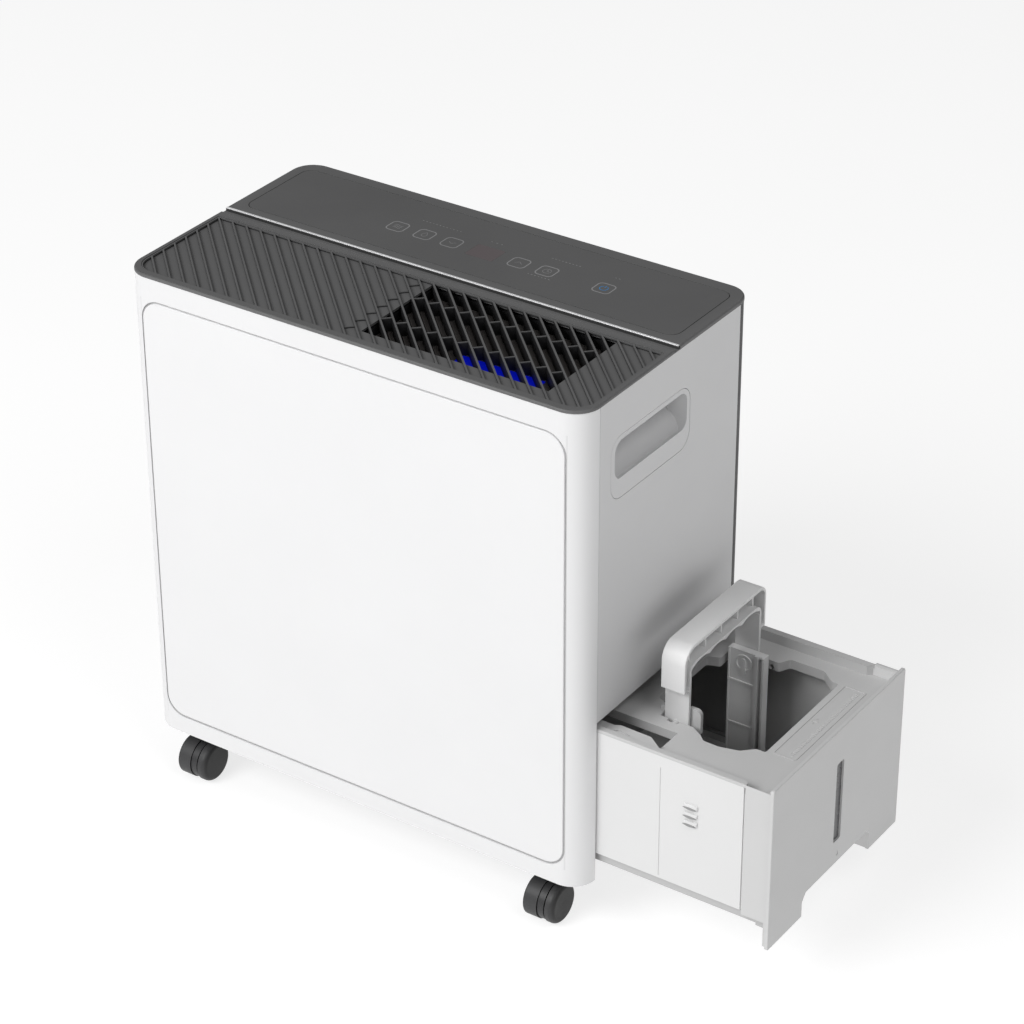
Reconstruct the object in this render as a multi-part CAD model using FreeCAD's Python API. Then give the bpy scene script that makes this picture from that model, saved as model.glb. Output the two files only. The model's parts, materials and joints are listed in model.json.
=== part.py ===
"""Portable dehumidifier with a side-loading water bucket, drawn out, and a folding carry handle.

Millimetres, +Z up. The drawing frame has its origin on the floor under the centre of the
casing, +X towards the bucket side and -Y towards the front panel. Every solid is moved by
SHIFT_X at the end, so the origin sits under the centre of the whole object.
"""
import os
import math

import FreeCAD
import Part

# casing
WIDTH = 392.0
DEPTH = 216.5
FLOOR_GAP = 44.0
SHELL_TOP = 430.3
WALL = 3.0
R_FRONT = 19.6
R_REAR = 18.0
FRONT_SEAM = -89.0
REAR_SEAM = 91.2
SEAM_GAP = 0.3
INLAY_HALF = 182.1
INLAY_Z = (58.5, 413.2)
INLAY_GROOVE = 1.6
INLAY_DEPTH = 1.6
BAY_TOP = 179.6
BAY_REAR = 95.9

# lid
LID_OVER = 0.35
LID_FRONT_TOP = 432.8
LID_REAR_TOP = 433.5
STEP_Y = 8.5
FIELD = (-192.5, 192.5, -102.7, -3.5)
FIELD_CORNER = 16.0
FIELD_FLOOR = 430.4
WINDOW = (0.0, 155.0, -89.0, -3.5)
RIB_PITCH = 12.87
RIB_WIDTH = 1.25
RIB_ANGLE = -44.8
RIB_START = -233.3
RIB_LOW = 421.4
PANEL = (-187.0, 187.0, 18.5, 97.5)
KEY_X = (-72.0, -48.0, -24.0, 34.5, 58.5, 106.5)
KEY_Y = 53.5
KEY_SIZE = 15.0
DISPLAY_X = 5.2

# carry recess in each side
GRIP_Y = (-75.0, 26.0)
GRIP_Z = (349.0, 398.0)
SCOOP_Y = (-70.0, 22.0)
SCOOP_Z = (364.0, 394.0)

# casters
CASTER_X = 160.2
SWIVEL_Y = 84.3
TRAIL = 10.0
WHEEL_R = 16.0
CASTER_HALF = 13.0

# bucket
TUB_X = (135.7, 337.0)
TUB_Y = (-88.0, 93.6)
TUB_BOTTOM = 59.4
TUB_EDGE = 67.5
RIM_TOP = 174.0
TUB_WALL = 2.5
DECK_TOP = 166.0
DECK_THICK = 2.5
END_X = 339.8
END_Y = (-90.0, 95.6)
END_Z = (43.0, 178.2)
CUT_Y = (-43.0, 54.0)
CUT_TOP = 62.0
SLOT_Y = (-1.0, 9.0)
SLOT_Z = (81.5, 149.5)
POCKET = (150.0, 239.0, -80.0, -51.0)

# handle
PIVOT_X = 228.3
PIVOT_Z = 162.0
BAIL_Y = (-41.6, 69.2)
BAIL_TOP = 227.8
BAIL_CORNER = (13.0, 9.0)
JOG_X = 316.5
LEG_Y = (-35.1, 63.0)
GRIP_TOP = 213.6
STRAP = 2.4
LEG_THICK = 2.6
STRAP_WIDTH = 19.6
SHOULDER_Z = 192.8
FINGERS_Y = (-19.0, 2.5, 24.5, 47.0)
PIN_R = 2.5
RUN = 0.05

# air path
FAN_X = 77.5
FAN_Z = 290.0
SCROLL_R = 90.0
SCROLL_Y = (-92.0, -8.0)
WHEEL_OUT = 74.0
WHEEL_IN = 60.0
BLADES = 36
COIL_X = (-60.0, 160.0)
COIL_Z = (197.0, 398.0)
CONDENSER_Y = (6.0, 26.0)
EVAPORATOR_Y = (36.0, 56.0)
FIN_PITCH = 5.0

# cold circuit
COMP_X = -122.0
COMP_Y = 12.0
COMP_R = 50.0

BASE_TOP = 50.0
SHELF_TOP = 188.0
SHIFT_X = -(END_X - WIDTH / 2 - LID_OVER) / 2

NORMALS = {"xy": (0, 0, 1), "xz": (0, 1, 0), "yz": (1, 0, 0)}


def point(plane, u, v, w):
    """The point (u, v) of a plane at height w, as a 3-D vector."""
    if plane == "xy":
        return FreeCAD.Vector(u, v, w)
    if plane == "xz":
        return FreeCAD.Vector(u, w, v)
    return FreeCAD.Vector(w, u, v)


def push(face, plane, height):
    """Extrudes a face along the plane's normal."""
    nx, ny, nz = NORMALS[plane]
    return face.extrude(FreeCAD.Vector(nx * height, ny * height, nz * height))


def slab(plane, u0, u1, v0, v1, w0, w1, radii=(0, 0, 0, 0)):
    """A block with rounded corners; radii run (u0 v0), (u1 v0), (u1 v1), (u0 v1)."""
    corners = [(u0, v0), (u1, v0), (u1, v1), (u0, v1)]
    ways = [(1, 0), (0, 1), (-1, 0), (0, -1)]
    edges = []
    first = last = None
    for i in range(4):
        cu, cv = corners[i]
        r = radii[i]
        din = ways[i - 1]
        out = ways[i]
        a = point(plane, cu - r * din[0], cv - r * din[1], w0)
        b = point(plane, cu + r * out[0], cv + r * out[1], w0)
        if last is not None:
            edges.append(Part.makeLine(last, a))
        if r > 0:
            mu = cu - r * din[0] + r * out[0] + r * (din[0] - out[0]) / math.sqrt(2)
            mv = cv - r * din[1] + r * out[1] + r * (din[1] - out[1]) / math.sqrt(2)
            edges.append(Part.Arc(a, point(plane, mu, mv, w0), b).toShape())
        if first is None:
            first = a
        last = b
    edges.append(Part.makeLine(last, first))
    return push(Part.Face(Part.Wire(edges)), plane, w1 - w0)


def box(x0, x1, y0, y1, z0, z1):
    """An axis-aligned block."""
    return Part.makeBox(x1 - x0, y1 - y0, z1 - z0, FreeCAD.Vector(x0, y0, z0))


def rod(radius, start, end):
    """A cylinder from one point to another."""
    a = FreeCAD.Vector(*start)
    b = FreeCAD.Vector(*end)
    return Part.makeCylinder(radius, (b - a).Length, a, b - a)


def polygon(plane, points, w0, w1):
    """A straight-sided prism."""
    corners = [point(plane, u, v, w0) for u, v in points]
    corners.append(corners[0])
    return push(Part.Face(Part.makePolygon(corners)), plane, w1 - w0)


def outline(points, grow):
    """A corner list (u, v, radius), anticlockwise, moved outward by grow."""
    out = []
    count = len(points)
    for i in range(count):
        a, b, c = points[i - 1], points[i], points[(i + 1) % count]
        n1 = outward(a, b)
        n2 = outward(b, c)
        dot = n1[0] * n2[0] + n1[1] * n2[1]
        k = grow / (1 + dot)
        turn = (b[0] - a[0]) * (c[1] - b[1]) - (b[1] - a[1]) * (c[0] - b[0])
        radius = b[2] + grow if turn > 0 else b[2] - grow
        out.append((b[0] + k * (n1[0] + n2[0]), b[1] + k * (n1[1] + n2[1]), max(radius, 0.0)))
    return out


def outward(a, b):
    """The outward unit normal of the edge from a to b of an anticlockwise outline."""
    du, dv = b[0] - a[0], b[1] - a[1]
    length = math.hypot(du, dv)
    return dv / length, -du / length


def soft(plane, points, w0, w1):
    """A prism over an outline whose corners are rounded by their own radii."""
    edges = []
    first = last = None
    count = len(points)
    for i in range(count):
        a, b, c = points[i - 1], points[i], points[(i + 1) % count]
        la = math.hypot(a[0] - b[0], a[1] - b[1])
        lc = math.hypot(c[0] - b[0], c[1] - b[1])
        ua = ((a[0] - b[0]) / la, (a[1] - b[1]) / la)
        uc = ((c[0] - b[0]) / lc, (c[1] - b[1]) / lc)
        half = math.acos(max(-1.0, min(1.0, ua[0] * uc[0] + ua[1] * uc[1]))) / 2
        run = min(b[2] / math.tan(half), 0.45 * la, 0.45 * lc) if b[2] > 0 else 0.0
        start = point(plane, b[0] + ua[0] * run, b[1] + ua[1] * run, w0)
        stop = point(plane, b[0] + uc[0] * run, b[1] + uc[1] * run, w0)
        if last is not None:
            edges.append(Part.makeLine(last, start))
        if run > 0:
            radius = run * math.tan(half)
            reach = radius / math.sin(half) - radius
            mu, mv = ua[0] + uc[0], ua[1] + uc[1]
            size = math.hypot(mu, mv)
            middle = point(plane, b[0] + mu / size * reach, b[1] + mv / size * reach, w0)
            edges.append(Part.Arc(start, middle, stop).toShape())
        if first is None:
            first = start
        last = stop
    edges.append(Part.makeLine(last, first))
    return push(Part.Face(Part.Wire(edges)), plane, w1 - w0)


def fused(shapes):
    """All the shapes joined into one clean solid."""
    if len(shapes) == 1:
        return shapes[0]
    return shapes[0].multiFuse(shapes[1:]).removeSplitter()


def rounded(shape, radius, keep):
    """The shape with the edges that satisfy keep rounded."""
    edges = [e for e in shape.Edges if keep(e)]
    return shape.makeFillet(radius, edges)


def flat_at(z):
    """A test for edges lying in the horizontal plane at z."""
    return lambda e: abs(e.BoundBox.ZMin - z) < 1e-4 and abs(e.BoundBox.ZMax - z) < 1e-4


def mirrored(shape):
    """The shape mirrored across the casing's centre plane x = 0."""
    return shape.mirror(FreeCAD.Vector(0, 0, 0), FreeCAD.Vector(1, 0, 0))


# ---------------------------------------------------------------- casing

def casing_ring():
    """The full upright wall of the casing, before it is parted at the seams."""
    half = WIDTH / 2
    deep = DEPTH / 2
    radii = (R_FRONT, R_FRONT, R_REAR, R_REAR)
    inner = tuple(r - WALL for r in radii)
    ring = slab("xy", -half, half, -deep, deep, FLOOR_GAP, SHELL_TOP, radii)
    return ring.cut(slab("xy", -half + WALL, half - WALL, -deep + WALL, deep - WALL,
                         FLOOR_GAP - 1, SHELL_TOP + 1, inner))


def front_cover():
    """Front wall with wrapped corners and a shallow seat for the inlay."""
    deep = DEPTH / 2
    cover = casing_ring().common(box(-200, 200, -120, FRONT_SEAM, 0, 500))
    seat = slab("xz", -INLAY_HALF, INLAY_HALF, INLAY_Z[0], INLAY_Z[1], -deep - 1,
                -deep + INLAY_DEPTH, (17, 17, 17, 17))
    ribs = [box(x - 1, x + 1, -deep + WALL, -deep + WALL + 2.2, 60, 410)
            for x in (-160, -110, -60, -20)]
    stiff = box(-178, 178, -deep + WALL, -deep + WALL + 2.2, 412, 415)
    return fused([cover.cut(seat), stiff] + ribs)


def front_inlay():
    """Large rounded panel set in the front cover, with a groove left around it."""
    deep = DEPTH / 2
    g = INLAY_GROOVE
    plate = slab("xz", -INLAY_HALF + g, INLAY_HALF - g, INLAY_Z[0] + g, INLAY_Z[1] - g,
                 -deep, -deep + INLAY_DEPTH, (15.4, 15.4, 15.4, 15.4))
    return rounded(plate, 0.7, lambda e: abs(e.BoundBox.YMax + deep) < 1e-4)


def side_panel(bottom):
    """Right side panel, with the opening for the carry recess."""
    half = WIDTH / 2
    g = SEAM_GAP
    panel = box(half - WALL, half, FRONT_SEAM + g, REAR_SEAM - g, bottom, SHELL_TOP)
    hole = slab("yz", GRIP_Y[0], GRIP_Y[1], GRIP_Z[0], GRIP_Z[1], half - 10, half + 10,
                (13, 13, 13, 13))
    rib = box(half - WALL - 3, half - WALL, FRONT_SEAM + 5, REAR_SEAM - 5, bottom + 16, bottom + 19)
    return fused([panel.cut(hole), rib])


def hand_grip():
    """Insert with a scooped pocket for the fingers, for the right side."""
    half = WIDTH / 2
    face = slab("yz", GRIP_Y[0] + 0.4, GRIP_Y[1] - 0.4, GRIP_Z[0] + 0.4, GRIP_Z[1] - 0.4,
                half - WALL, half - 0.1, (12.6, 12.6, 12.6, 12.6))
    flange = slab("yz", GRIP_Y[0] - 3, GRIP_Y[1] + 3, GRIP_Z[0] - 3, GRIP_Z[1] + 3,
                  half - WALL - 2.2, half - WALL - 0.2, (14, 14, 14, 14))
    neck = slab("yz", GRIP_Y[0] + 0.4, GRIP_Y[1] - 0.4, GRIP_Z[0] + 0.4, GRIP_Z[1] - 0.4,
                half - WALL - 2.2, half - WALL, (12.6, 12.6, 12.6, 12.6))
    y0, y1 = SCOOP_Y
    z0, z1 = SCOOP_Z
    cup = slab("yz", y0 - 2, y1 + 2, z0 - 2, z1 + 2, half - 26, half - 3, (10, 10, 10, 10))
    ramp = [(half + 1, z0 + 1), (half + 1, z1), (half - 24, z1), (half - 24, z0 + 17), (half - 3, z0)]
    hollow = polygon("xz", [(x, z) for x, z in ramp], y0, y1)
    mouth = slab("yz", y0, y1, z0, z1, half - 30, half + 2, (9, 9, 9, 9))
    return fused([face, flange, neck, cup]).cut(hollow.common(mouth))


def rear_cover():
    """Dark rear wall with rounded corners, the filter window and the service holes."""
    cover = casing_ring().common(box(-200, 200, REAR_SEAM, 120, 0, 500))
    bay = box(150, 210, 80, BAY_REAR, 0, BAY_TOP)
    window = slab("xz", -152, 152, 214, 396, 90, 120, (8, 8, 8, 8))
    gland = rod(9.2, (-150, 90, 92), (-150, 120, 92))
    drain = rod(12.2, (-60, 90, 84), (-60, 120, 84))
    screws = [rod(2.3, (x, 90, z), (x, 120, z)) for x, z in rear_screw_places()]
    screws += [rod(3.7, (x, DEPTH / 2 - 1.2, z), (x, 120, z)) for x, z in rear_screw_places()]
    return cover.cut(bay).cut(window).cut(gland).cut(drain).cut(fused(screws))


def rear_screw_places():
    """Where the rear cover is fastened."""
    return [(x, z) for x in (-168, 0, 168) for z in (198, 412)] + [(-168, 66), (60, 66)]


def base_pan():
    """Floor of the machine, with bosses for the compressor, sockets and the rear cover."""
    plate = slab("xy", -192.7, 192.7, -105.0, 105.0, 46, BASE_TOP, (16.4, 16.4, 14.8, 14.8))
    plate = plate.cut(box(178, 200, -90.5, 97, 0, 100))
    lip = slab("xy", -192.7, -16.3, -105.0, 105.0, BASE_TOP, 58, (16.4, 0, 0, 14.8))
    lip = lip.cut(slab("xy", -190.7, -18.3, -103.0, 103.0, BASE_TOP, 60, (14.4, 0, 0, 12.8)))
    bosses = [rod(9, (x, y, BASE_TOP), (x, y, 53)) for x, y in foot_places()]
    ribs = [box(-146, -22, y - 1, y + 1, BASE_TOP, 53) for y in (-76, 93)]
    holes = [rod(9.05, (x, y, 40), (x, y, 60)) for x, y in swivel_places()]
    return fused([plate, lip] + bosses + ribs).cut(fused(holes))


def swivel_places():
    """Plan positions of the four caster stems."""
    return [(sx * CASTER_X, sy * SWIVEL_Y) for sx in (-1, 1) for sy in (-1, 1)]


def caster_sockets():
    """Four stem sockets pressed into the base pan."""
    out = []
    for x, y in swivel_places():
        body = rod(9.0, (x, y, 46), (x, y, 57)).fuse(rod(11, (x, y, 44.4), (x, y, 46)))
        out.append(body.cut(rod(4.0 + RUN, (x, y, 40), (x, y, 55))).removeSplitter())
    return out


def bay_divider():
    """Wall and shelf that part the bucket bay from the machinery."""
    wall = box(-16, -14, -104.6, 104.6, BASE_TOP + 0.2, SHELF_TOP)
    shelf = box(-14, 192.6, -104.6, 104.6, SHELF_TOP - 2, SHELF_TOP)
    notch = box(176, 200, 88, 110, 100, 200).fuse(box(176, 200, -110, -87, 100, 200))
    rails = [box(-14, 176, y0, y1, 178, SHELF_TOP - 2) for y0, y1 in ((-101, -99), (99, 101))]
    return fused([wall, shelf] + rails).cut(notch)


def rear_screws():
    """Pan-head screws of the rear cover."""
    out = []
    for x, z in rear_screw_places():
        head = rod(3.6, (x, DEPTH / 2 - 1.2, z), (x, DEPTH / 2 + 0.5, z))
        shank = rod(2.0, (x, DEPTH / 2 - 9, z), (x, DEPTH / 2 - 1.2, z))
        cross = box(x - 2.2, x + 2.2, 108, 110, z - 0.4, z + 0.4)
        cross = cross.fuse(box(x - 0.4, x + 0.4, 108, 110, z - 2.2, z + 2.2))
        out.append(head.fuse(shank).cut(cross).removeSplitter())
    return out


# ---------------------------------------------------------------- lid

def top_cover():
    """Lid: low front frame with a sunk field and outlet window, raised rear part."""
    w = WIDTH / 2 + LID_OVER
    d = DEPTH / 2 + LID_OVER
    radii = (R_FRONT + LID_OVER, R_FRONT + LID_OVER, R_REAR + LID_OVER, R_REAR + LID_OVER)
    low = slab("xy", -w, w, -d, d, SHELL_TOP + 0.1, LID_FRONT_TOP, radii)
    low = rounded(low, 1.4, flat_at(LID_FRONT_TOP))
    high = slab("xy", -w, w, STEP_Y + 2.0, d, LID_FRONT_TOP - 1.6, LID_REAR_TOP,
                (0, 0, radii[2], radii[3]))
    high = rounded(high, 1.4, lambda e: flat_at(LID_REAR_TOP)(e) and e.BoundBox.YMax > STEP_Y + 3)
    skirt = slab("xy", -w + 3.7, w - 3.7, -d + 3.7, d - 3.7, 426.6, SHELL_TOP + 0.2,
                 tuple(r - 3.7 for r in radii))
    skirt = skirt.cut(slab("xy", -w + 6.2, w - 6.2, -d + 6.2, d - 6.2, 426, 428.6,
                           tuple(r - 6.2 for r in radii)))
    lid = fused([low, high, skirt])
    lid = lid.cut(slab("xy", FIELD[0], FIELD[1], FIELD[2], FIELD[3], FIELD_FLOOR, 440,
                       (FIELD_CORNER, FIELD_CORNER, 1.5, 1.5)))
    lid = lid.cut(slab("xy", WINDOW[0], WINDOW[1], WINDOW[2], WINDOW[3], 420, 440))
    lid = lid.cut(box(-w - 1, w + 1, 3.2, STEP_Y + 2.0, 431.0, 440))
    lid = lid.cut(slab("xy", PANEL[0], PANEL[1], PANEL[2], PANEL[3], LID_REAR_TOP - 1.4, 440,
                       (9, 9, 9, 9)))
    return lid


def slanted(cx, cy, length, width, z0, z1, angle):
    """A flat bar centred on a point and turned in plan."""
    bar = box(-length / 2, length / 2, -width / 2, width / 2, z0, z1)
    bar.rotate(FreeCAD.Vector(0, 0, 0), FreeCAD.Vector(0, 0, 1), angle)
    bar.translate(FreeCAD.Vector(cx, cy, 0))
    return bar


def rib_centres():
    """Where the slanted ribs cross the middle line of the field."""
    cy = (FIELD[2] + FIELD[3]) / 2
    return [(RIB_START + RIB_PITCH * i, cy) for i in range(37)]


def gap_x(y):
    """The middles of the gaps between the ribs at a given depth."""
    return [cx + (y - cy) / math.tan(math.radians(RIB_ANGLE)) + RIB_PITCH / 2
            for cx, cy in rib_centres()]


def top_ribs():
    """Slanted ribs of the sunk field with their cross bars, deeper over the window."""
    x0, x1, y0, y1 = FIELD
    top = LID_FRONT_TOP - 0.5
    outer = slab("xy", x0 + 0.2, x1 - 0.2, y0 + 0.2, y1 - 0.2, FIELD_FLOOR, top,
                 (FIELD_CORNER - 0.2, FIELD_CORNER - 0.2, 1.3, 1.3))
    inner = slab("xy", x0 + 1.2, x1 - 1.2, y0 + 1.2, y1 - 1.2, FIELD_FLOOR - 1, 440,
                 (FIELD_CORNER - 1.2, FIELD_CORNER - 1.2, 0.3, 0.3))
    wx0, wx1, wy0, wy1 = WINDOW
    well = box(wx0 + 0.3, wx1 - 0.3, wy0 + 0.3, wy1 - 0.3, 420, FIELD_FLOOR)
    shallow = [slanted(cx, cy, 170, RIB_WIDTH, FIELD_FLOOR, top, RIB_ANGLE)
               for cx, cy in rib_centres()]
    deep = [slanted(cx, cy, 170, RIB_WIDTH, RIB_LOW, FIELD_FLOOR, RIB_ANGLE)
            for cx, cy in rib_centres()]
    turn = 90 + RIB_ANGLE
    for y in (-28.4, -65.5):
        for x in gap_x(y):
            if wx0 + 3 < x < wx1 - 3:
                shallow.append(slanted(x, y, 9.2, 0.9, FIELD_FLOOR, top - 0.5, turn))
                deep.append(slanted(x, y, 9.2, 0.9, RIB_LOW, FIELD_FLOOR, turn))
    field = Part.makeCompound(shallow).common(outer)
    below = Part.makeCompound(deep).common(well)
    notches = []
    for cx, cy in rib_centres():
        y = cy + (-9.6 - RIB_PITCH / 2 - cx) * math.tan(math.radians(RIB_ANGLE))
        if y0 + 8 < y < y1 - 6:
            notches.append(slanted(-9.6, y, 9.2, 0.9, FIELD_FLOOR, top - 0.9, turn))
    return fused([outer.cut(inner)] + field.Solids + below.Solids + notches)


def outlet_lattice():
    """Frame in the outlet throat with narrow oblique slats just under the ribs."""
    wx0, wx1 = WINDOW[0] + 0.4, WINDOW[1] - 0.4
    frame = box(wx0, wx1, -88.6, -3.9, 417.6, 420.0)
    frame = frame.cut(box(wx0 + 1.5, wx1 - 1.5, -87.1, -5.4, 410, 430))
    inside = box(wx0 + 0.5, wx1 - 0.5, -88.1, -4.4, 410, 430)
    slats = []
    for cx, cy in rib_centres():
        for shift in (3.0, 3.0 + RIB_PITCH / 2):
            bar = slanted(cx + shift, cy, 150, 3.3, 417.8, 420.2, RIB_ANGLE).common(inside)
            if bar.Volume > 5:
                slats.append(bar)
    rails = [box(wx0 + 0.5, wx1 - 0.5, y - 1, y + 1, 416.4, 418.4) for y in (-60, -32)]
    return fused([frame] + slats + rails)


def outlet_vanes():
    """Oblique air vanes in the throat, below the lattice."""
    parts = [box(1.2, 153.8, y - 0.8, y + 0.8, 404.5, 410.5) for y in (-86.5, -45, -6.5)]
    for i in range(10):
        bar = slanted(8 + 15.3 * i, -46, 112, 5.0, 405.2, 407.2, -RIB_ANGLE)
        parts.append(bar.common(box(1.4, 153.6, -86.6, -6.4, 400, 420)))
    return fused([p for p in parts if p.Volume > 1])


def outlet_duct():
    """Rectangular throat between the fan housing and the lid window."""
    outer = box(-3.2, 158.2, -92.2, -0.8, 402.4, 426.2)
    return outer.cut(box(-0.2, 155.2, -89.2, -3.8, 400, 430))


def trim_strip():
    """Bright strip along the step of the lid."""
    w = WIDTH / 2 - 0.4
    strip = box(-w, w, STEP_Y, STEP_Y + 1.9, 431.1, LID_REAR_TOP + 0.5)
    return rounded(strip, 0.4, lambda e: flat_at(LID_REAR_TOP + 0.5)(e))


def control_panel():
    """Thin plate with the touch surface, set in the rear part of the lid."""
    z0 = LID_REAR_TOP - 1.4
    plate = slab("xy", PANEL[0] + 0.6, PANEL[1] - 0.6, PANEL[2] + 0.6, PANEL[3] - 0.6, z0,
                 LID_REAR_TOP, (8.4, 8.4, 8.4, 8.4))
    plate = plate.cut(display_block(0.1))
    for x in KEY_X:
        plate = plate.cut(key_block(x, 0.0))
    return plate


def display_block(grow):
    """The volume of the display window, grown by a clearance."""
    return slab("xy", DISPLAY_X - 11.8 - grow, DISPLAY_X + 11.8 + grow, KEY_Y - 9.3 - grow,
                KEY_Y + 9.3 + grow, LID_REAR_TOP - 0.9, LID_REAR_TOP, (1.5, 1.5, 1.5, 1.5))


def key_block(x, grow):
    """The rounded ring around one touch key."""
    h = KEY_SIZE / 2
    r = 4.0
    ring = slab("xy", x - h - grow, x + h + grow, KEY_Y - h - grow, KEY_Y + h + grow,
                LID_REAR_TOP - 0.4, LID_REAR_TOP, (r, r, r, r))
    h = h - 0.9
    return ring.cut(slab("xy", x - h, x + h, KEY_Y - h, KEY_Y + h, LID_REAR_TOP - 1,
                         LID_REAR_TOP + 1, (r - 0.9,) * 4))


def display_window():
    """Dark pane over the digit display."""
    return display_block(0.0)


def touch_keys():
    """Printed rings that mark the six touch keys."""
    return [key_block(x, 0.0) for x in KEY_X]


# ---------------------------------------------------------------- casters

def caster_fork(sy):
    """Centre cheek, hood plate and stem of the front-right caster (sy = -1) or rear (sy = 1)."""
    x = CASTER_X
    y = sy * SWIVEL_Y
    wy = sy * (SWIVEL_Y + TRAIL)
    cheek = rod(WHEEL_R - 0.8, (x - 0.7, wy, WHEEL_R), (x + 4.7, wy, WHEEL_R))
    hood = slab("xy", x - CASTER_HALF, x + CASTER_HALF, min(y - sy * 9, y + sy * 6),
                max(y - sy * 9, y + sy * 6), 33.0, 37.0, (4, 4, 4, 4))
    neck = box(x - 0.7, x + 4.7, min(wy, y - sy * 7), max(wy, y - sy * 7), 20, 34)
    tail = box(x - 0.7, x + 4.7, min(y + sy * 2, y - sy * 7), max(y + sy * 2, y - sy * 7), 8, 20)
    stem = rod(4.0, (x, y, 36), (x, y, 54)).fuse(rod(7, (x, y, 36), (x, y, 43.6)))
    axle = rod(3.0, (x - 11.5, wy, WHEEL_R), (x + 11.5, wy, WHEEL_R))
    body = fused([cheek, hood, neck, tail, stem])
    return fused([body, axle])


def caster_wheels(sy):
    """The wide inner wheel and the domed outer wheel of one caster."""
    x = CASTER_X
    wy = sy * (SWIVEL_Y + TRAIL)
    left = rod(WHEEL_R, (x - CASTER_HALF, wy, WHEEL_R), (x - 1.0, wy, WHEEL_R))
    left = rounded(left, 1.2, lambda e: e.BoundBox.XMax < x - CASTER_HALF + 0.1)
    left = left.cut(rod(13.2, (x - CASTER_HALF, wy, WHEEL_R), (x - 11.8, wy, WHEEL_R)))
    right = rod(WHEEL_R, (x + 6.0, wy, WHEEL_R), (x + CASTER_HALF, wy, WHEEL_R))
    right = rounded(right, 4.0, lambda e: e.BoundBox.XMin > x + CASTER_HALF - 0.1)
    bore = rod(3.0 + RUN, (x - 11.7, wy, WHEEL_R), (x + 11.7, wy, WHEEL_R))
    return [left.cut(bore), right.cut(bore)]


# ---------------------------------------------------------------- bucket

def bucket_tub():
    """Open water tub with a set-back foot band and short feet."""
    x0, x1 = TUB_X
    y0, y1 = TUB_Y
    t = TUB_WALL
    r = 12.0
    body = slab("xy", x0, x1, y0, y1, TUB_EDGE, RIM_TOP, (r, 2, 2, r))
    band = slab("xy", x0 + 3, x1, y0 + 3, y1 - 3, TUB_BOTTOM, TUB_EDGE, (r, 2, 2, r))
    hollow = slab("xy", x0 + t, x1 - t, y0 + t, y1 - t, TUB_EDGE + 1, RIM_TOP + 1,
                  (r - t, 1, 1, r - t))
    well = slab("xy", x0 + 3 + t, x1 - t, y0 + 3 + t, y1 - 3 - t, TUB_BOTTOM + t, TUB_EDGE + 2,
                (r - t, 1, 1, r - t))
    feet = [box(326, 336.5, a, b, 56.4, TUB_BOTTOM) for a, b in ((-84, -74), (80, 90))]
    skids = [box(142, 300, a, b, 54, TUB_BOTTOM) for a, b in ((-60, -56), (62, 66))]
    lowered = box(x0 - 1, JOG_X + 0.3, y0 - 1, y1 + 1, RIM_TOP - 2.6, 200)
    ends = box(JOG_X - 1, x1 - t, y0 - 1, 0, DECK_TOP - 0.2, 200)
    slit = slab("yz", SLOT_Y[0] - 3, SLOT_Y[1] + 3, SLOT_Z[0] - 3, SLOT_Z[1] + 3, 334, 338)
    line = box(248.0, 248.8, y0 - 1, y0 + 0.4, 70, 162)
    seam = box(JOG_X - 1.4, JOG_X, y0 - 1, y0 + 1.0, TUB_EDGE - 1, RIM_TOP - 2.6)
    tub = fused([body, band] + feet + skids).cut(hollow).cut(well).cut(lowered).cut(ends)
    tub = tub.cut(slit).cut(line).cut(seam)
    ridges = [rounded(box(268.7, 279.2, y0 - 1.7, y0 + 1, z - 1.7, z + 1.1), 1.0,
                      lambda e: e.BoundBox.YMax < y0 - 1.6) for z in (139.7, 132.7, 125.8)]
    return fused([tub] + ridges)


def bucket_end_panel():
    """Outer end of the bucket, flush with the casing when shut, with two legs."""
    y0, y1 = END_Y
    z0, z1 = END_Z
    plate = slab("yz", y0, y1, z0, z1, TUB_X[1] + 0.0, END_X, (1.5, 1.5, 2, 2))
    plate = rounded(plate, 0.8, lambda e: abs(e.BoundBox.XMin - END_X) < 1e-4)
    cut = [(CUT_Y[0], z0 - 2), (CUT_Y[1], z0 - 2), (CUT_Y[1], CUT_TOP - 5), (CUT_Y[1] - 3, CUT_TOP),
           (CUT_Y[0] + 5, CUT_TOP), (CUT_Y[0], CUT_TOP - 6)]
    plate = plate.cut(polygon("yz", cut, 320, 350))
    x1 = TUB_X[1]
    returns = [box(x1 - 13, x1 + 1, CUT_Y[0] - 2, CUT_Y[0], z0 + 0.6, CUT_TOP - 5),
               box(x1 - 13, x1 + 1, CUT_Y[1], CUT_Y[1] + 2, z0 + 0.6, CUT_TOP - 5)]
    wings = [box(JOG_X, x1 + 1, y0 + 1.6, TUB_Y[0], 64.5, RIM_TOP),
             box(JOG_X, x1 + 1, TUB_Y[1], y1 - 0.2, 64.5, RIM_TOP)]
    tab = box(x1 - 2.5, x1 + 1, y0 + 1.5, y0 + 3.0, z0 + 1.5, 64.5)
    panel = fused([plate, tab] + returns + wings)
    slot = slab("yz", SLOT_Y[0], SLOT_Y[1], SLOT_Z[0], SLOT_Z[1], 330, 350, (2, 2, 2, 2))
    drop = rod(1.6, (END_X - 0.4, 5.6, 69), (END_X + 1, 5.6, 69))
    tip = polygon("yz", [(4.2, 69.6), (7.0, 69.6), (5.6, 72.6)], END_X - 0.4, END_X + 1)
    return panel.cut(slot).cut(drop).cut(tip)


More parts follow.
